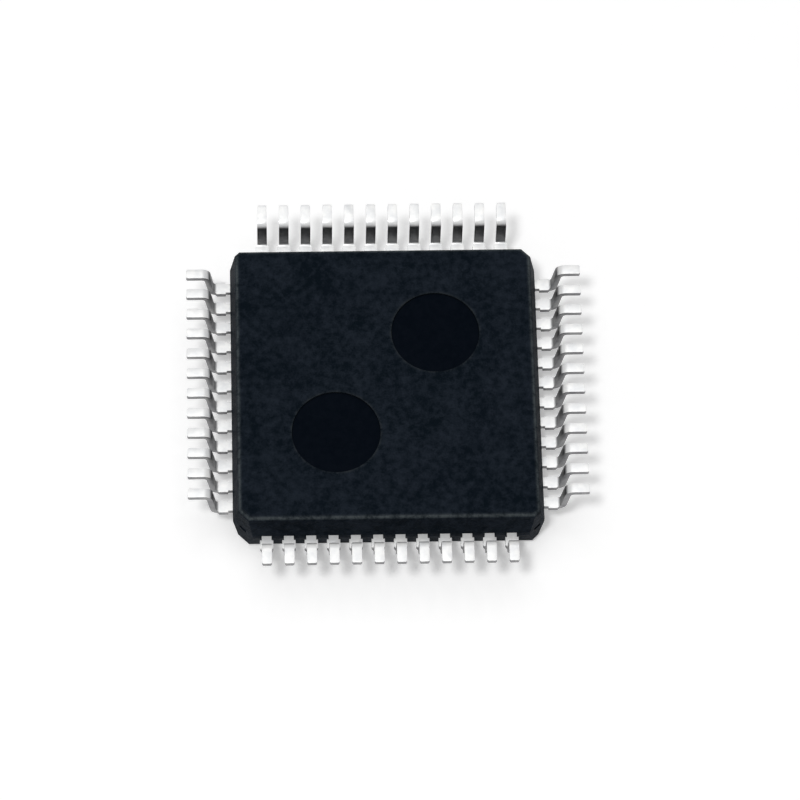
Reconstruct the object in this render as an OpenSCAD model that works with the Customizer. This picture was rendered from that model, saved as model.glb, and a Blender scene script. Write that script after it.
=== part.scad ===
// Quad flat pack chip: low-profile moulded body, 48 gull-wing leads, die and bond wires inside.
// It lies on its marked face: the marked face is at z = 0 and the solder feet point up.
// Origin at the centre of the marked face, +X to the right, +Y to the back, millimetres.

/* [Moulded body] */
// Thickness of the body between its two faces
body_t = 1.4; // [1.35:0.05:1.6]
// Draft of the four flanks, from the vertical
draft_angle = 12; // [5:1:15]
// Radius of the rounded edge round each face
edge_r = 0.12; // [0.03:0.01:0.18]
// Draft of the four corner faces, from the vertical
corner_draft = 2; // [1:1:8]
// Corner chamfer at the front left, where the mould gate was
chamfer_front_left = 0.44; // [0.3:0.02:0.5]
// Corner chamfer at the front right
chamfer_front_right = 0.34; // [0.2:0.02:0.5]
// Corner chamfer at the back right
chamfer_back_right = 0.4; // [0.2:0.02:0.5]
// Corner chamfer at the back left
chamfer_back_left = 0.3; // [0.2:0.02:0.5]

/* [Marks on the faces] */
// Diameter of the two ejector pin marks on the foot side
ejector_d = 2; // [1.2:0.1:2.2]
// Depth of the ejector pin marks
ejector_depth = 0.04; // [0.02:0.01:0.08]
// Sideways distance of each ejector mark from the centre
ejector_x = 1.15; // [1.15:0.05:1.6]
// Lengthways distance of each ejector mark from the centre
ejector_y = 1.24; // [1.14:0.05:1.6]
// Diameter of the pin 1 dimple on the marked face
dimple_d = 0.8; // [0.5:0.1:1]
// Depth of the pin 1 dimple
dimple_depth = 0.08; // [0.04:0.01:0.12]
// Distance of the dimple's centre from each flank
dimple_inset = 0.95; // [0.85:0.05:1.5]

/* [Leads] */
// Leads on each side
leads_per_side = 12; // [8:1:13]
// Distance from one lead to the next
pitch = 0.5; // [0.4:0.01:0.65]
// Distance from the middle of a side's last lead to the flank round the corner
row_margin = 0.75; // [0.7:0.01:1]
// Width of a lead
lead_w = 0.22; // [0.17:0.01:0.24]
// Thickness of the lead frame
lead_t = 0.127; // [0.1:0.001:0.15]
// Height of the middle of the lead frame over the marked face
frame_z = 0.7; // [0.65:0.01:0.75]
// Distance from the body's flank to the tip of a foot
lead_reach = 1; // [0.95:0.01:1.3]
// Height of the feet above the body's foot side
standoff = 0.1; // [0.05:0.01:0.15]
// Flat length of a foot
foot_l = 0.35; // [0.25:0.01:0.4]
// Inside radius of both bends
bend_r = 0.08; // [0.05:0.01:0.12]
// Slope of the lead between its two bends
slope_angle = 82; // [72:1:86]
// Radius of a foot's two corners
foot_corner_r = 0.04; // [0.02:0.01:0.08]
// Width that the cut dam bar leaves on each side of a lead
dam_stub = 0.04; // [0.02:0.005:0.06]
// Distance from the flank to the dam bar's stubs
dam_gap = 0.1; // [0.06:0.01:0.15]
// Length of the stubs along the lead
dam_l = 0.2; // [0.12:0.01:0.22]
// Length over which a stub runs out towards the foot
dam_taper = 0.05; // [0.02:0.01:0.08]

/* [Inner lead frame] */
// Length of a lead inside the body before its finger fans in
anchor_l = 0.3; // [0.2:0.01:0.5]
// Width of a finger at its tip
finger_w = 0.13; // [0.1:0.01:0.15]
// Gap between the die pad and the fingers, seen from above
finger_gap = 0.3; // [0.25:0.01:0.4]
// Distance from the pad's corner back to the last finger's middle
finger_margin = 0.17; // [0.15:0.01:0.4]
// Width of the square die pad
pad_w = 3.2; // [3:0.05:3.4]
// Offset of the die pad from the leads, towards the foot side
pad_offset = 0.2; // [0.14:0.01:0.25]
// Width of the four tie bars that held the pad
tie_w = 0.2; // [0.14:0.01:0.22]
// Straight length of a tie bar beside the pad, before it slopes back
tie_l = 0.15; // [0.1:0.01:0.3]
// Depth of a tie bar's cut end below the corner face
tie_recess = 0.06; // [0.02:0.01:0.12]

/* [Die and wires] */
// Width of the square die
die_w = 2.6; // [2:0.05:2.8]
// Thickness of the die
die_t = 0.28; // [0.2:0.01:0.32]
// Width of the glue under the die, past each side of it
attach_rim = 0.05; // [0.02:0.01:0.08]
// Thickness of the glue under the die
attach_t = 0.025; // [0.02:0.005:0.04]
// Distance of the bonds from the die's edge
bond_inset = 0.1; // [0.08:0.01:0.15]
// Distance from the die's corner back to the last bond
bond_margin = 0.25; // [0.2:0.01:0.4]
// Thickness of a bond wire
wire_t = 0.025; // [0.02:0.001:0.035]
// Height of the wire loops over the die
loop_h = 0.15; // [0.12:0.01:0.2]
// Radius of the turn at the top of a loop
loop_r = 0.06; // [0.04:0.01:0.08]
// Width of the bond under the start of each wire
ball_d = 0.06; // [0.045:0.005:0.08]
// Thickness of the bond under the start of each wire
ball_t = 0.015; // [0.01:0.005:0.03]
// Length of each wire's flat end on its finger
stitch_l = 0.08; // [0.05:0.01:0.12]

/* [Hidden] */

lead_count = 4 * leads_per_side;
function two_digits(number) = str(number < 10 ? "0" : "", number);
LEADS = [for (pin = [1:lead_count]) str("lead_", two_digits(pin))];

mold_colour = "#171b20";
tin_colour = "#d5d8da";
copper_colour = "#b98252";
glue_colour = "#a9a9a4";
silicon_colour = "#4b5566";
gold_colour = "#d9b13f";

$fn = 64;
arc_steps = 6;    // flats in a bend or a rounded edge
ball_sides = 8;   // sides of a bond
spare = 1;        // how far a cutting shape runs past what it cuts

// Heights, from the marked face up
frame_top = frame_z + lead_t / 2;
frame_bottom = frame_z - lead_t / 2;
foot_top = body_t + standoff;
pad_bottom = frame_bottom + pad_offset;
attach_bottom = pad_bottom - attach_t;
die_face = attach_bottom - die_t;

// Distances out from the centre along a side's own direction
last = leads_per_side - 1;
body_w = last * pitch + 2 * row_margin;
flank = body_w / 2;
tip = flank + lead_reach;
foot_start = tip - foot_l;
mid_r = bend_r + lead_t / 2;
bend_rise = mid_r * (1 - cos(slope_angle));
rise = foot_top - frame_top;
slope_run = 2 * mid_r * sin(slope_angle) + (rise - 2 * bend_rise) / tan(slope_angle);
shoulder_end = foot_start - slope_run;
finger_tip = pad_w / 2 + finger_gap;
finger_root = flank - anchor_l;
bond_r = die_w / 2 - bond_inset;
stitch_r = finger_tip + stitch_l;

// Spacing of the finger tips and of the bonds along a side
finger_pitch = (pad_w - 2 * finger_margin) / last;
bond_pitch = (die_w - 2 * bond_margin) / last;
stitch_share = stitch_l / (finger_root - finger_tip);
stitch_pitch = finger_pitch + (pitch - finger_pitch) * stitch_share;

function arc(centre, radius, from, to) =
    [for (i = [0:arc_steps]) let(a = from + (to - from) * i / arc_steps)
        centre + radius * [cos(a), sin(a)]];
function reversed(points) = [for (i = [len(points) - 1:-1:0]) points[i]];
function mirrored(points) = [for (p = reversed(points)) [-p.x, p.y]];

// ---- Moulded body ----

// One side from the marked face up: rounded edge, draft, upright band as thick as the
// lead frame, draft, rounded edge
function side_line(reach, draft) =
    let(inset = edge_r * tan(45 - draft / 2),
        low = reach - frame_bottom * tan(draft) - inset,
        high = reach - (body_t - frame_top) * tan(draft) - inset)
    concat(arc([low, edge_r], edge_r, -90, -draft),
           [[reach, frame_bottom], [reach, frame_top]],
           arc([high, body_t - edge_r], edge_r, draft, 90));

// The body's section along one direction, as a long prism across it
module section_prism(direction, draft, reach_back, reach_ahead) {
    rotate([90, 0, direction])
        linear_extrude(height = 2 * body_w, center = true)
            polygon(concat(side_line(reach_ahead, draft), mirrored(side_line(reach_back, draft))));
}

function corner_reach(chamfer) = (body_w - chamfer) / sqrt(2);

module body_form() {
    intersection() {
        section_prism(0, draft_angle, flank, flank);
        section_prism(90, draft_angle, flank, flank);
        section_prism(45, corner_draft,
                      corner_reach(chamfer_front_left), corner_reach(chamfer_back_right));
        section_prism(-45, corner_draft,
                      corner_reach(chamfer_back_left), corner_reach(chamfer_front_right));
    }
}

module ejector_marks() {
    for (side = [-1, 1])
        translate([side * ejector_x, side * ejector_y, body_t - ejector_depth])
            cylinder(d = ejector_d, h = ejector_depth + spare);
}

module pin_one_dimple() {
    place = dimple_inset - flank;
    translate([place, place, -spare])
        cylinder(d = dimple_d, h = dimple_depth + spare);
}

module mold_body() {
    color(mold_colour)
        difference() {
            body_form();
            for (pin = [1:lead_count]) lead_form(pin);
            pad_form(spare);
            attach_form();
            die_form();
            wires_form();
            ejector_marks();
            pin_one_dimple();
        }
}

// ---- Leads ----

// Side view of a lead, out from the centre: flat finger and shoulder, bend, slope, bend, foot
module lead_profile() {
    low = [shoulder_end, frame_z + mid_r];
    high = [foot_start, foot_top - lead_t / 2 - mid_r];
    outer_r = bend_r + lead_t;
    upper = concat([[0, frame_top]],
                   arc(low, bend_r, -90, slope_angle - 90),
                   arc(high, outer_r, slope_angle + 90, 90),
                   [[tip + spare, foot_top]]);
    lower = concat([[0, frame_bottom]],
                   arc(low, outer_r, -90, slope_angle - 90),
                   arc(high, bend_r, slope_angle + 90, 90),
                   [[tip + spare, foot_top - lead_t]]);
    polygon(concat(upper, reversed(lower)));
}

// One long edge of a lead seen from above, from the finger's tip to the foot's tip
function lead_edge(place, side) =
    let(finger = place * finger_pitch + side * finger_w / 2,
        edge = place * pitch + side * lead_w / 2,
        stub = edge + side * dam_stub,
        stub_start = flank + dam_gap,
        stub_end = stub_start + dam_l,
        corner = [tip - foot_corner_r, edge - side * foot_corner_r])
    concat([[finger_tip, finger], [finger_root, edge]],
           [[stub_start, edge], [stub_start, stub], [stub_end, stub], [stub_end + dam_taper, edge]],
           arc(corner, foot_corner_r, side * 90, 0));

// A lead on the right-hand side, at its place counted from the middle of the row
module lead_blank(place) {
    intersection() {
        rotate([90, 0, 0])
            linear_extrude(height = 2 * body_w, center = true) lead_profile();
        translate([0, 0, frame_bottom - spare])
            linear_extrude(height = foot_top - frame_bottom + 2 * spare)
                polygon(concat(lead_edge(place, -1), reversed(lead_edge(place, 1))));
    }
}

// Pins run clockwise seen from the foot side: up the left, along the back, down the right
// and along the front
function side_of(pin) = floor((pin - 1) / leads_per_side);
function place_of(pin) = last / 2 - (pin - 1) % leads_per_side;

module lead_form(pin) {
    rotate(180 - 90 * side_of(pin)) lead_blank(place_of(pin));
}

module lead(pin) {
    color(tin_colour) lead_form(pin);
}

// ---- Die pad ----

// Side view of a tie bar along its diagonal, from the pad's middle to the body's corner
module tie_profile(end) {
    slope_start = pad_w / sqrt(2) + tie_l;
    slope_end = slope_start + pad_offset;
    polygon([[0, pad_bottom], [slope_start, pad_bottom], [slope_end, frame_bottom],
             [end, frame_bottom], [end, frame_top], [slope_end, frame_top],
             [slope_start, pad_bottom + lead_t], [0, pad_bottom + lead_t]]);
}

module tie_bar(direction, end) {
    rotate([90, 0, direction])
        linear_extrude(height = tie_w, center = true) tie_profile(end);
}

// The pad with its tie bars, which run past the corner faces by a distance, or end below them
module pad_form(past) {
    union() {
        translate([-pad_w / 2, -pad_w / 2, pad_bottom]) cube([pad_w, pad_w, lead_t]);
        tie_bar(45, corner_reach(chamfer_back_right) + past);
        tie_bar(135, corner_reach(chamfer_back_left) + past);
        tie_bar(225, corner_reach(chamfer_front_left) + past);
        tie_bar(315, corner_reach(chamfer_front_right) + past);
    }
}

module die_pad() {
    color(copper_colour) pad_form(-tie_recess);
}

// ---- Die ----

module attach_form() {
    width = die_w + 2 * attach_rim;
    translate([-width / 2, -width / 2, attach_bottom]) cube([width, width, attach_t]);
}

module die_attach() {
    color(glue_colour) attach_form();
}

module die_form() {
    translate([-die_w / 2, -die_w / 2, die_face]) cube([die_w, die_w, die_t]);
}

module silicon_die() {
    color(silicon_colour) die_form();
}

// ---- Bond wires ----

// Middle line of a wire in its own upright plane: straight off the die, a turn at the top
// of the loop, a long slope and a flat end on the finger
function wire_line(span) =
    let(crest = die_face - loop_h,
        rest_z = frame_bottom - wire_t / 2)
    concat([[0, die_face]],
           arc([loop_r, crest + loop_r], loop_r, 180, 270),
           [[span - stitch_l, rest_z], [span, rest_z]]);

// Direction of a line at each of its points, halfway between its two pieces there
function heading(line, i) =
    let(before = line[max(i - 1, 0)], here = line[i], after = line[min(i + 1, len(line) - 1)],
        into = here - before, out = after - here,
        sum = into / max(norm(into), 0.001) + out / max(norm(out), 0.001))
    sum / norm(sum);

function beside(line, distance) =
    [for (i = [0:len(line) - 1]) let(h = heading(line, i))
        line[i] + distance * [-h.y, h.x]];

// A wire from its bond on the die to its finger, on the right-hand side
module wire_blank(place) {
    start = [bond_r, place * bond_pitch];
    end = [stitch_r, place * stitch_pitch];
    line = wire_line(norm(end - start));
    turn = atan2(end.y - start.y, end.x - start.x);
    translate([start.x, start.y, 0])
        rotate([90, 0, turn])
            linear_extrude(height = wire_t, center = true)
                polygon(concat(beside(line, wire_t / 2), reversed(beside(line, -wire_t / 2))));
    translate([start.x, start.y, die_face - ball_t])
        cylinder(d = ball_d, h = ball_t, $fn = ball_sides);
}

module wires_form() {
    for (pin = [1:lead_count])
        rotate(180 - 90 * side_of(pin)) wire_blank(place_of(pin));
}

module bond_wires() {
    color(gold_colour) wires_form();
}

mold_body();
for (pin = [1:lead_count])
    lead(pin);
die_pad();
die_attach();
silicon_die();
bond_wires();
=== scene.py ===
"""The looks of a quad flat pack chip that lies on its marked face, feet up, on white paper.

All lengths are in metres, in the row frame: the marked face is at z = 0.
"""
import math

import bmesh
import bpy
from mathutils import Matrix, Vector


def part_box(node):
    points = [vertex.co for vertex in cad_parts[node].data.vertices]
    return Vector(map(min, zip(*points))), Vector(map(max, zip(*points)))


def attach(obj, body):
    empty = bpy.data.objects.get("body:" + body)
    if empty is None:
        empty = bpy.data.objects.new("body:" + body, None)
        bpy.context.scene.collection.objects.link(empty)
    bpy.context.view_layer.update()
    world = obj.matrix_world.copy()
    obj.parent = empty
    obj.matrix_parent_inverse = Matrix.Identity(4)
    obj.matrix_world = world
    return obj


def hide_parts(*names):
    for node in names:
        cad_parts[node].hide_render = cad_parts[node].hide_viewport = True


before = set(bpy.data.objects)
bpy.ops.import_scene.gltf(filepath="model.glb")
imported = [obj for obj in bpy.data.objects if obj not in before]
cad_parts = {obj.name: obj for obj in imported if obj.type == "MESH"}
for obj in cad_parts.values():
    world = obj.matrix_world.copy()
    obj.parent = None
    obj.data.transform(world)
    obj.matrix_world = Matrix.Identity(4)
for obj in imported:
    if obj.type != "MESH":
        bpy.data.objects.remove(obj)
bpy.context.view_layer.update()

MM = 0.001
LEADS = sorted(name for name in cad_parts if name.startswith("lead_"))

# Camera: where it stands, seen from the middle of the chip, and how it is rolled
CAMERA_AZIMUTH = math.radians(-4.24)
CAMERA_ELEVATION = math.radians(64.1)
CAMERA_ROLL = math.radians(3.08)
CAMERA_DISTANCE = 112 * MM
CAMERA_TARGET = Vector((0.325, -0.173, 0.8)) * MM
CAMERA_LENS = 222.0          # on a sensor 36 wide
SENSOR_WIDTH = 36.0

# Ejector pin marks: two smooth round recesses on the foot side
MARK_OFFSET = Vector((1.15, 1.24, 0)) * MM
MARK_RADIUS = 1.0 * MM
MARK_DEPTH = 0.04 * MM
MARK_BLUR = 0.01 * MM
RIM_WIDTH = 0.06 * MM        # width of the pale ring painted round each mark as a highlight
RING_PITCH = 0.07 * MM       # turning rings left in the marks by the ejector pins

# Leads: the edges that stamping and plating round off
LEAD_ROUND = 0.024 * MM
LEAD_ROUND_STEPS = 3
SHARP = math.radians(40)     # edges that bend more than this are rounded
SAME_POINT_MM = 1e-4         # points closer than this are merged, in mm
FLAT = math.radians(1)       # faces that bend less than this are joined

LAMP_DISTANCE = 250 * MM
FLOOR_SIZE = 600 * MM
FLOOR_GLOW = 0.27            # added where the floor is seen, so that the open paper is white
WORLD_LIGHT = 0.3            # strength of the white surroundings as a light


# ---- Node helpers ----

class Shader:
    """A new material and the short calls that add its nodes."""

    def __init__(self, name):
        self.material = bpy.data.materials.new(name)
        self.material.use_nodes = True
        self.tree = self.material.node_tree
        self.tree.nodes.clear()
        self.output = self.add("ShaderNodeOutputMaterial")
        self.surface = self.add("ShaderNodeBsdfPrincipled")
        self.link(self.surface.outputs[0], self.output.inputs["Surface"])

    def add(self, kind, **settings):
        node = self.tree.nodes.new(kind)
        for key, value in settings.items():
            setattr(node, key, value)
        return node

    def link(self, source, target):
        self.tree.links.new(source, target)

    def feed(self, target, value):
        """Sets a socket to a value, or links it to another socket."""
        if isinstance(value, bpy.types.NodeSocket):
            self.link(value, target)
        else:
            target.default_value = value

    def place(self):
        """The point on the surface, in the row frame, in metres."""
        return self.add("ShaderNodeTexCoord").outputs["Object"]

    def noise(self, size, detail=3.0, roughness=0.5):
        """Smooth noise from 0 to 1 whose blotches are about size metres across."""
        node = self.add("ShaderNodeTexNoise")
        node.inputs["Scale"].default_value = 1 / size
        node.inputs["Detail"].default_value = detail
        node.inputs["Roughness"].default_value = roughness
        self.link(self.place(), node.inputs["Vector"])
        return node.outputs["Fac"]

    def math(self, operation, a, b=0.0):
        node = self.add("ShaderNodeMath", operation=operation)
        self.feed(node.inputs[0], a)
        self.feed(node.inputs[1], b)
        return node.outputs[0]

    def ramp(self, value, low, high, out_low=0.0, out_high=1.0):
        """Maps value from low..high to out_low..out_high, held at both ends."""
        node = self.add("ShaderNodeMapRange")
        self.feed(node.inputs["Value"], value)
        node.inputs["From Min"].default_value = low
        node.inputs["From Max"].default_value = high
        node.inputs["To Min"].default_value = out_low
        node.inputs["To Max"].default_value = out_high
        return node.outputs["Result"]

    def mix(self, share, a, b):
        """Colour a where share is 0, b where it is 1."""
        node = self.add("ShaderNodeMix", data_type="RGBA")
        self.feed(node.inputs["Factor"], share)
        for socket, value in ((node.inputs[6], a), (node.inputs[7], b)):
            if isinstance(value, bpy.types.NodeSocket):
                self.link(value, socket)
            else:
                socket.default_value = (*value, 1)
        return node.outputs[2]

    def bump(self, height, depth, under=None):
        """Relief of depth metres where height goes from 0 to 1, laid over the relief under it."""
        node = self.add("ShaderNodeBump")
        node.inputs["Strength"].default_value = 1.0
        node.inputs["Distance"].default_value = depth
        self.link(height, node.inputs["Height"])
        if under is not None:
            self.link(under, node.inputs["Normal"])
        return node.outputs["Normal"]

    def blend(self, share, a, b):
        """Number a where share is 0, b where it is 1."""
        node = self.add("ShaderNodeMix", data_type="FLOAT")
        self.feed(node.inputs["Factor"], share)
        self.feed(node.inputs[2], a)
        self.feed(node.inputs[3], b)
        return node.outputs[0]

    def distance(self, point):
        node = self.add("ShaderNodeVectorMath", operation="DISTANCE")
        self.link(self.place(), node.inputs[0])
        node.inputs[1].default_value = point
        return node.outputs["Value"]

    def near(self, point, radius, blur):
        """1 inside a ball round a point, 0 outside it."""
        return self.ramp(self.distance(point), radius, radius - blur)

    def rings(self, centres, pitch):
        """Rings round the nearest of two centres, from 0 to 1."""
        nearest = self.math("MINIMUM", *[self.distance(centre) for centre in centres])
        wave = self.math("SINE", self.math("MULTIPLY", nearest, 2 * math.pi / pitch))
        return self.ramp(wave, -1, 1)

    def lean(self):
        """0 on upright surfaces, 1 on level ones."""
        split = self.add("ShaderNodeSeparateXYZ")
        self.link(self.add("ShaderNodeNewGeometry").outputs["Normal"], split.inputs[0])
        return self.math("ABSOLUTE", split.outputs["Z"])

    def edge_band(self):
        """Up to 1 on surfaces that lean between a flank and a face, as rounded edges do."""
        return self.math("MULTIPLY", self.ramp(self.lean(), 0.35, 0.70),
                         self.ramp(self.lean(), 1.0, 0.85))


def set_inputs(shader, **values):
    """Sets the named sockets of a shader's Principled node, spaces written as underscores."""
    for key, value in values.items():
        shader.surface.inputs[key.replace("_", " ")].default_value = value


# ---- Materials ----

def mould_compound():
    """Black epoxy: mottled, with a fine spark-eroded grain, painted pale at the rounded edges and
    round the two ejector marks as highlights there, darker and smooth inside the marks."""
    s = Shader("mould_compound")
    floor_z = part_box("mold_body")[1].z - MARK_DEPTH
    centres = [(side * MARK_OFFSET.x, side * MARK_OFFSET.y, floor_z) for side in (-1, 1)]
    mark = s.math("MAXIMUM", *[s.near(centre, MARK_RADIUS, MARK_BLUR) for centre in centres])
    outer = s.math("MAXIMUM", *[s.near(c, MARK_RADIUS + RIM_WIDTH, RIM_WIDTH) for c in centres])
    cloud = s.noise(0.8 * MM, detail=2)
    mottle = s.noise(0.16 * MM, detail=5, roughness=0.62)
    grain = s.noise(0.045 * MM, detail=3, roughness=0.6)
    shade = s.math("ADD", s.math("MULTIPLY", cloud, 0.25),
                   s.math("ADD", s.math("MULTIPLY", mottle, 0.5), s.math("MULTIPLY", grain, 0.25)))
    dull = s.mix(s.ramp(shade, 0.42, 0.60), (0.0024, 0.0054, 0.0092), (0.0135, 0.0188, 0.0274))
    # Painted highlight: the rounded edges are painted pale, standing for the light they catch.
    edge_highlighted = s.mix(s.math("MULTIPLY", s.edge_band(), s.ramp(shade, 0.42, 0.58, 0.3, 1.0)),
                 dull, (0.066, 0.078, 0.084))
    # Painted highlight: a paler ring round each mark stands for the light its recessed edge catches.
    rim = s.math("MULTIPLY", s.math("SUBTRACT", outer, mark), s.ramp(shade, 0.44, 0.60, 0.1, 1.0))
    face = s.mix(rim, edge_highlighted, (0.026, 0.031, 0.035))
    inside = s.mix(s.ramp(mottle, 0.35, 0.65), (0.0003, 0.0017, 0.0043), (0.0015, 0.0031, 0.0064))
    s.link(s.mix(mark, face, inside), s.surface.inputs["Base Color"])
    s.link(s.blend(mark, s.ramp(grain, 0.3, 0.7, 0.46, 0.60), s.ramp(grain, 0.3, 0.7, 0.52, 0.58)),
           s.surface.inputs["Roughness"])
    set_inputs(s, Specular_IOR_Level=0.02)
    open_share = s.ramp(mark, 0, 1, 1.0, 0.04)
    pits = s.bump(s.math("MULTIPLY", mottle, open_share), 0.030 * MM)
    rough = s.bump(s.math("MULTIPLY", grain, open_share), 0.010 * MM, under=pits)
    rings = s.math("MULTIPLY", s.rings(centres, RING_PITCH), mark)
    s.link(s.bump(rings, 0.0004 * MM, under=rough), s.surface.inputs["Normal"])
    return s.material


def matte_tin():
    """Tin plating on the leads: pale and matt on level surfaces, a metal on upright ones whose
    colour is painted much darker as the shade and dark reflections they show."""
    s = Shader("matte_tin")
    blotch = s.noise(0.22 * MM, detail=4, roughness=0.6)
    grain = s.noise(0.018 * MM, detail=3, roughness=0.6)
    level = s.mix(s.ramp(blotch, 0.32, 0.68), (0.72, 0.73, 0.74), (0.84, 0.84, 0.83))
    # Painted shade: upright surfaces get a much darker colour, standing for the shade and dark
    # reflections they show.
    upright = s.mix(s.ramp(blotch, 0.32, 0.68), (0.20, 0.20, 0.21), (0.31, 0.31, 0.31))
    s.link(s.mix(s.ramp(s.lean(), 0.35, 0.75), upright, level), s.surface.inputs["Base Color"])
    s.link(s.math("ADD", s.ramp(grain, 0.3, 0.7, -0.04, 0.04), s.ramp(blotch, 0.3, 0.7, 0.42, 0.34)),
           s.surface.inputs["Roughness"])
    s.link(s.ramp(s.lean(), 0.35, 0.75, 1.0, 0.4), s.surface.inputs["Metallic"])
    s.link(s.bump(grain, 0.0012 * MM), s.surface.inputs["Normal"])
    return s.material


def plain_metal(name, light, dark, roughness):
    """Bare metal of the inner pieces, with a fine rolled grain."""
    s = Shader(name)
    grain = s.noise(0.05 * MM, detail=3)
    s.link(s.mix(s.ramp(grain, 0.3, 0.7), dark, light), s.surface.inputs["Base Color"])
    s.link(s.ramp(grain, 0.3, 0.7, roughness - 0.06, roughness + 0.06),
           s.surface.inputs["Roughness"])
    set_inputs(s, Metallic=1.0)
    s.link(s.bump(grain, 0.001 * MM), s.surface.inputs["Normal"])
    return s.material


def silver_epoxy():
    """Grey glue full of silver flakes."""
    s = Shader("silver_epoxy")
    flakes = s.noise(0.02 * MM, detail=2)
    s.link(s.mix(s.ramp(flakes, 0.4, 0.6), (0.35, 0.35, 0.34), (0.62, 0.62, 0.60)),
           s.surface.inputs["Base Color"])
    s.link(s.ramp(flakes, 0.3, 0.7, 0.45, 0.65), s.surface.inputs["Roughness"])
    set_inputs(s, Metallic=0.6)
    s.link(s.bump(flakes, 0.002 * MM), s.surface.inputs["Normal"])
    return s.material


def polished_silicon():
    """Dark mirror of the die, very slightly uneven in colour."""
    s = Shader("polished_silicon")
    film = s.noise(0.5 * MM, detail=2)
    s.link(s.mix(film, (0.10, 0.12, 0.17), (0.20, 0.21, 0.26)), s.surface.inputs["Base Color"])
    s.link(s.ramp(film, 0.3, 0.7, 0.10, 0.16), s.surface.inputs["Roughness"])
    set_inputs(s, Metallic=0.8)
    s.link(s.bump(film, 0.0005 * MM), s.surface.inputs["Normal"])
    return s.material


def paint(name, material):
    """Gives one of the frame's own nodes a material in place of its plain one."""
    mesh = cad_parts[name].data
    mesh.materials.clear()
    mesh.materials.append(material)


def rounded_lead(name, material):
    """A copy of a lead with its sharp edges rolled over, which stands for the lead."""
    mesh = bmesh.new()
    mesh.from_mesh(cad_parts[name].data)
    bmesh.ops.scale(mesh, vec=[1 / MM] * 3, verts=mesh.verts)
    bmesh.ops.remove_doubles(mesh, verts=mesh.verts, dist=SAME_POINT_MM)
    bmesh.ops.dissolve_limit(mesh, angle_limit=FLAT, verts=mesh.verts, edges=mesh.edges)
    sharp = [edge for edge in mesh.edges if edge.calc_face_angle(0) > SHARP]
    bmesh.ops.bevel(mesh, geom=sharp, offset=LEAD_ROUND / MM, offset_type="OFFSET",
                    segments=LEAD_ROUND_STEPS, profile=0.5, affect="EDGES", clamp_overlap=True)
    bmesh.ops.scale(mesh, vec=[MM] * 3, verts=mesh.verts)
    data = bpy.data.meshes.new(name + "_rounded")
    mesh.to_mesh(data)
    mesh.free()
    data.shade_smooth()
    data.set_sharp_from_angle(angle=SHARP)
    data.materials.append(material)
    piece = bpy.data.objects.new(name + "_rounded", data)
    bpy.context.scene.collection.objects.link(piece)
    weigh = piece.modifiers.new("even_normals", "WEIGHTED_NORMAL")
    weigh.keep_sharp = True
    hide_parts(name)
    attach(piece, "root")


def dress_nodes():
    paint("mold_body", mould_compound())
    tin = matte_tin()
    for name in LEADS:
        rounded_lead(name, tin)
    paint("die_pad", plain_metal("pad_copper", (0.86, 0.56, 0.38), (0.70, 0.42, 0.27), 0.32))
    paint("die_attach", silver_epoxy())
    paint("silicon_die", polished_silicon())
    paint("bond_wires", plain_metal("bond_gold", (1.0, 0.77, 0.34), (0.9, 0.66, 0.26), 0.22))


# ---- Stage ----

def white_floor():
    """White paper: keeps the shadow, and shows as white where nothing shades it."""
    s = Shader("white_paper")
    fibre = s.noise(0.4 * MM, detail=3)
    s.link(s.mix(fibre, (0.92, 0.92, 0.92), (0.95, 0.95, 0.95)), s.surface.inputs["Base Color"])
    s.link(s.bump(fibre, 0.002 * MM), s.surface.inputs["Normal"])
    set_inputs(s, Roughness=0.9, Specular_IOR_Level=0.1)
    glow = s.add("ShaderNodeEmission")
    path = s.add("ShaderNodeLightPath")
    seen = s.math("MAXIMUM", path.outputs["Is Camera Ray"],
                  s.math("MAXIMUM", path.outputs["Is Glossy Ray"], path.outputs["Is Transmission Ray"]))
    s.link(s.math("MULTIPLY", seen, FLOOR_GLOW), glow.inputs["Strength"])
    both = s.add("ShaderNodeAddShader")
    s.link(s.surface.outputs[0], both.inputs[0])
    s.link(glow.outputs[0], both.inputs[1])
    s.link(both.outputs[0], s.output.inputs["Surface"])
    bpy.ops.mesh.primitive_plane_add(size=FLOOR_SIZE, location=(0, 0, 0))
    floor = bpy.context.object
    floor.name = "floor"
    floor.data.materials.append(s.material)


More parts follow.
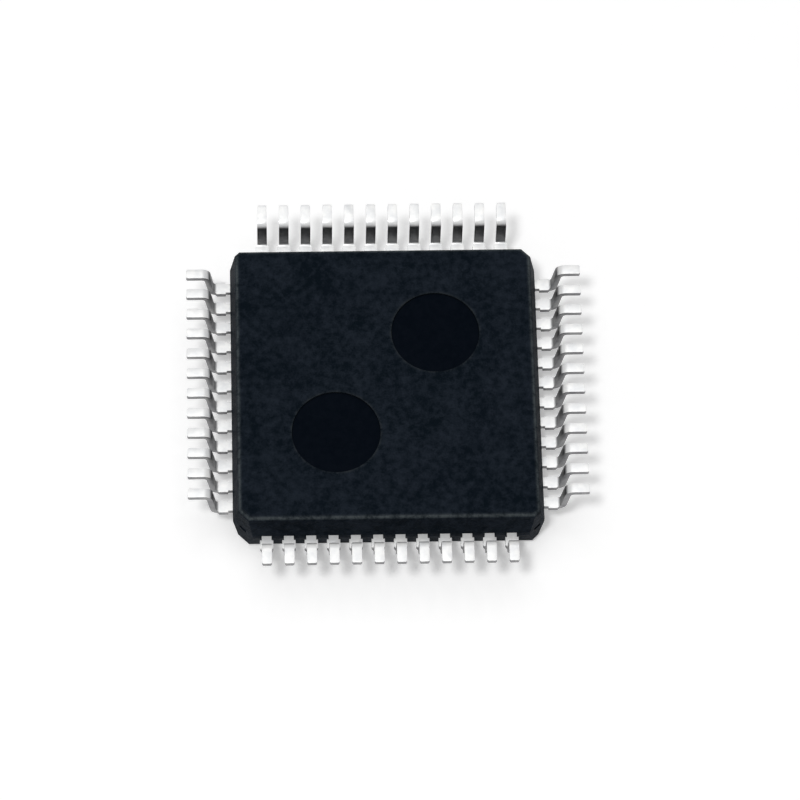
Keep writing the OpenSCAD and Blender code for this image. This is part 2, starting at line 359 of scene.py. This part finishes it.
def white_world():
    """Surroundings that look white, also in reflections, and light the chip more dimly."""
    world = bpy.data.worlds.new("white_room")
    bpy.context.scene.world = world
    world.use_nodes = True
    tree = world.node_tree
    tree.nodes.clear()
    path = tree.nodes.new("ShaderNodeLightPath")
    seen = tree.nodes.new("ShaderNodeMath")
    seen.operation = "MAXIMUM"
    mirrored = tree.nodes.new("ShaderNodeMath")
    mirrored.operation = "MAXIMUM"
    strength = tree.nodes.new("ShaderNodeMapRange")
    strength.inputs["To Min"].default_value = WORLD_LIGHT
    strength.inputs["To Max"].default_value = 1.0
    background = tree.nodes.new("ShaderNodeBackground")
    output = tree.nodes.new("ShaderNodeOutputWorld")
    tree.links.new(path.outputs["Is Glossy Ray"], mirrored.inputs[0])
    tree.links.new(path.outputs["Is Transmission Ray"], mirrored.inputs[1])
    tree.links.new(path.outputs["Is Camera Ray"], seen.inputs[0])
    tree.links.new(mirrored.outputs[0], seen.inputs[1])
    tree.links.new(seen.outputs[0], strength.inputs["Value"])
    tree.links.new(strength.outputs["Result"], background.inputs["Strength"])
    tree.links.new(background.outputs[0], output.inputs["Surface"])


def soft_lamp(name, direction, size, level):
    """A square soft lamp, size metres wide, that looks at the chip from a direction. A white
    surface that faces it squarely gains about level times white."""
    data = bpy.data.lights.new(name, "AREA")
    data.size = size
    data.energy = level * (math.pi * LAMP_DISTANCE) ** 2
    lamp = bpy.data.objects.new(name, data)
    bpy.context.scene.collection.objects.link(lamp)
    away = Vector(direction).normalized()
    lamp.location = away * LAMP_DISTANCE
    lamp.rotation_euler = away.to_track_quat("Z", "Y").to_euler()


def camera():
    """The camera of the reference view."""
    azimuth, elevation = CAMERA_AZIMUTH, CAMERA_ELEVATION
    back = Vector((math.sin(azimuth) * math.cos(elevation),
                   -math.cos(azimuth) * math.cos(elevation),
                   math.sin(elevation)))
    right = Vector((0, 0, 1)).cross(back).normalized()
    up = back.cross(right)
    side = right * math.cos(CAMERA_ROLL) + up * math.sin(CAMERA_ROLL)
    top = up * math.cos(CAMERA_ROLL) - right * math.sin(CAMERA_ROLL)
    data = bpy.data.cameras.new("camera")
    data.lens = CAMERA_LENS
    data.sensor_width = SENSOR_WIDTH
    data.clip_start = 0.05 * CAMERA_DISTANCE
    data.clip_end = 20 * CAMERA_DISTANCE
    eye = bpy.data.objects.new("camera", data)
    bpy.context.scene.collection.objects.link(eye)
    turn = Matrix((side, top, back)).transposed()
    eye.matrix_world = Matrix.Translation(CAMERA_TARGET + back * CAMERA_DISTANCE) @ turn.to_4x4()
    bpy.context.scene.camera = eye


camera()
white_world()
white_floor()
soft_lamp("key", (-0.23, -0.29, 1.0), 0.04, 0.36)
soft_lamp("back", (-0.05, 0.22, 1.0), 0.20, 0.28)
dress_nodes()
bpy.context.scene.view_settings.view_transform = "Standard"
